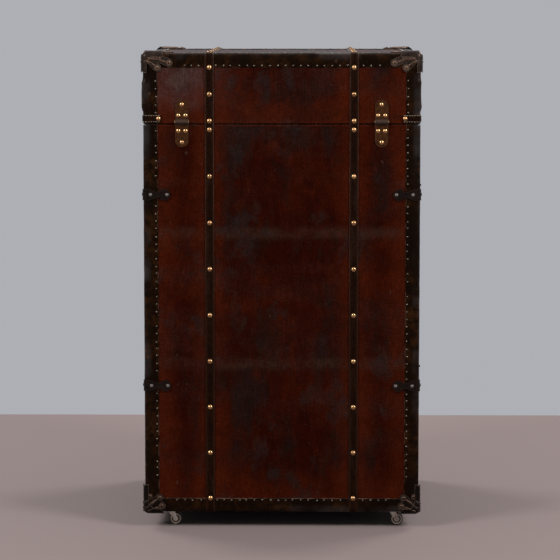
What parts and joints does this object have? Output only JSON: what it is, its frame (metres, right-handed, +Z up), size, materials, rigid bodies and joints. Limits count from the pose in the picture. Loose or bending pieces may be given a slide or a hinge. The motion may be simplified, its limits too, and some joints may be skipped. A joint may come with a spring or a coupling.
{
  "type": "wardrobe trunk",
  "caption": "Upright leather-covered wardrobe trunk on swivel casters, opening on a side hinge with drawers and a hanging rail, under a rear-hinged lid.",
  "frame": {"origin": "floor level, under the middle of the trunk", "axes": "+Z up, -Y towards the back with the lid hinges, +X towards the side with the hasps"},
  "size_m": [0.5973, 0.5719, 0.9928],
  "materials": {
    "black_iron": "blackened",
    "black_leather": "aged, semi-gloss",
    "brass": "aged",
    "cap_bronze": "dark bronze lacquer, worn",
    "drawer_wood": "varnished",
    "hard_wood": "varnished",
    "lining_cloth": "woven cloth",
    "oxblood_leather": "aged, semi-gloss",
    "shell_wood": "plywood",
    "steel": "zinc plated",
    "wheel_cream": "moulded"
  },
  "bodies": {
    "rear_case": {"rear_binding": "black_leather", "rear_caster_plates": "steel", "rear_corner_caps": "cap_bronze", "rear_leather": "oxblood_leather", "rear_lining": "lining_cloth", "rear_nails": "brass", "rear_shell": "shell_wood", "rear_straps": "black_leather", "case_hinge_rear": "black_iron", "hinge_pins": "brass", "case_hasp_mounts": "black_iron", "lid_hinge_lower": "brass", "rail_bridge": "hard_wood", "rail_track": "steel"},
    "front_case": {"front_binding": "black_leather", "front_caster_plates": "steel", "front_corner_caps": "cap_bronze", "front_leather": "oxblood_leather", "front_lining": "lining_cloth", "front_nails": "brass", "front_shell": "shell_wood", "front_straps": "black_leather", "case_hinge_front": "black_iron", "case_staples": "black_iron", "lid_hasp_mount": "black_iron", "handle_lugs": "brass", "drawer_cabinet": "drawer_wood"},
    "lid": {"lid_shell": "shell_wood", "lid_leather": "oxblood_leather", "lid_lining": "lining_cloth", "lid_binding": "black_leather", "lid_corner_caps": "cap_bronze", "lid_straps": "black_leather", "lid_side_bands": "black_leather", "lid_nails": "brass", "lid_staple": "black_iron", "lid_hinge_upper": "brass"},
    "lid_hasp": {"lid_hasp": "black_iron"},
    "case_hasp_upper": {"case_hasp_upper": "black_iron"},
    "case_hasp_lower": {"case_hasp_lower": "black_iron"},
    "handle_right": {"handle_bail_right": "brass", "handle_grip_right": "black_leather"},
    "handle_left": {"handle_bail_left": "brass", "handle_grip_left": "black_leather"},
    "caster_fork_rear_left": {"caster_fork_rear_left": "steel"},
    "caster_wheel_rear_left": {"caster_wheel_rear_left": "wheel_cream"},
    "caster_fork_rear_right": {"caster_fork_rear_right": "steel"},
    "caster_wheel_rear_right": {"caster_wheel_rear_right": "wheel_cream"},
    "caster_fork_front_left": {"caster_fork_front_left": "steel"},
    "caster_wheel_front_left": {"caster_wheel_front_left": "wheel_cream"},
    "caster_fork_front_right": {"caster_fork_front_right": "steel"},
    "caster_wheel_front_right": {"caster_wheel_front_right": "wheel_cream"},
    "drawer_1": {"drawer_1": "drawer_wood"},
    "drawer_2": {"drawer_2": "drawer_wood"},
    "drawer_3": {"drawer_3": "drawer_wood"},
    "drawer_4": {"drawer_4": "drawer_wood"},
    "trolley": {"trolley_bar": "steel"},
    "hanger_1": {"hanger_1": "hard_wood"},
    "hanger_2": {"hanger_2": "hard_wood"},
    "hanger_3": {"hanger_3": "hard_wood"}
  },
  "joints": [
    {"name": "case_hinge", "type": "hinge", "parent": "rear_case", "child": "front_case", "pos_m": [-0.2899, 0, 0.035], "axis": [0, 0, 1], "range_deg": [0, 110]},
    {"name": "lid_hinge", "type": "hinge", "parent": "rear_case", "child": "lid", "pos_m": [0, -0.2779, 0.847], "axis": [1, 0, 0], "range_deg": [0, 100]},
    {"name": "lid_hasp_hinge", "type": "hinge", "parent": "front_case", "child": "lid_hasp", "pos_m": [0, 0.2792, 0.8194], "axis": [1, 0, 0], "range_deg": [0, 175]},
    {"name": "case_hasp_upper_hinge", "type": "hinge", "parent": "rear_case", "child": "case_hasp_upper", "pos_m": [0.2892, -0.014, 0.697], "axis": [0, 0, 1], "range_deg": [0, 175]},
    {"name": "case_hasp_lower_hinge", "type": "hinge", "parent": "rear_case", "child": "case_hasp_lower", "pos_m": [0.2892, -0.014, 0.3], "axis": [0, 0, 1], "range_deg": [0, 175]},
    {"name": "handle_right_swing", "type": "hinge", "parent": "front_case", "child": "handle_right", "pos_m": [0.291, 0.135, 0.6], "axis": [0, -1, 0], "range_deg": [0, 90]},
    {"name": "handle_left_swing", "type": "hinge", "parent": "front_case", "child": "handle_left", "pos_m": [-0.291, 0.135, 0.6], "axis": [0, 1, 0], "range_deg": [0, 90]},
    {"name": "caster_rear_left_swivel", "type": "hinge", "parent": "rear_case", "child": "caster_fork_rear_left", "pos_m": [-0.232, -0.235, 0.033], "axis": [0, 0, 1], "continuous": true},
    {"name": "caster_rear_left_roll", "type": "hinge", "parent": "caster_fork_rear_left", "child": "caster_wheel_rear_left", "pos_m": [-0.223, -0.235, 0.013], "axis": [0, 1, 0], "continuous": true},
    {"name": "caster_rear_right_swivel", "type": "hinge", "parent": "rear_case", "child": "caster_fork_rear_right", "pos_m": [0.232, -0.235, 0.033], "axis": [0, 0, 1], "continuous": true},
    {"name": "caster_rear_right_roll", "type": "hinge", "parent": "caster_fork_rear_right", "child": "caster_wheel_rear_right", "pos_m": [0.241, -0.235, 0.013], "axis": [0, 1, 0], "continuous": true},
    {"name": "caster_front_left_swivel", "type": "hinge", "parent": "front_case", "child": "caster_fork_front_left", "pos_m": [-0.232, 0.235, 0.033], "axis": [0, 0, 1], "continuous": true},
    {"name": "caster_front_left_roll", "type": "hinge", "parent": "caster_fork_front_left", "child": "caster_wheel_front_left", "pos_m": [-0.223, 0.235, 0.013], "axis": [0, 1, 0], "continuous": true},
    {"name": "caster_front_right_swivel", "type": "hinge", "parent": "front_case", "child": "caster_fork_front_right", "pos_m": [0.232, 0.235, 0.033], "axis": [0, 0, 1], "continuous": true},
    {"name": "caster_front_right_roll", "type": "hinge", "parent": "caster_fork_front_right", "child": "caster_wheel_front_right", "pos_m": [0.241, 0.235, 0.013], "axis": [0, 1, 0], "continuous": true},
    {"name": "drawer_1_slide", "type": "slide", "parent": "front_case", "child": "drawer_1", "axis": [0, -1, 0], "range_m": [0, 0.2]},
    {"name": "drawer_2_slide", "type": "slide", "parent": "front_case", "child": "drawer_2", "axis": [0, -1, 0], "range_m": [0, 0.2]},
    {"name": "drawer_3_slide", "type": "slide", "parent": "front_case", "child": "drawer_3", "axis": [0, -1, 0], "range_m": [0, 0.2]},
    {"name": "drawer_4_slide", "type": "slide", "parent": "front_case", "child": "drawer_4", "axis": [0, -1, 0], "range_m": [0, 0.2]},
    {"name": "trolley_slide", "type": "slide", "parent": "rear_case", "child": "trolley", "axis": [0, 1, 0], "range_m": [0, 0.2]},
    {"name": "hanger_1_swing", "type": "hinge", "parent": "trolley", "child": "hanger_1", "pos_m": [0, -0.214, 0.7614], "axis": [0, 1, 0], "range_deg": [-10, 10]},
    {"name": "hanger_2_swing", "type": "hinge", "parent": "trolley", "child": "hanger_2", "pos_m": [0, -0.154, 0.7614], "axis": [0, 1, 0], "range_deg": [-10, 10]},
    {"name": "hanger_3_swing", "type": "hinge", "parent": "trolley", "child": "hanger_3", "pos_m": [0, -0.094, 0.7614], "axis": [0, 1, 0], "range_deg": [-10, 10]}
  ]
}
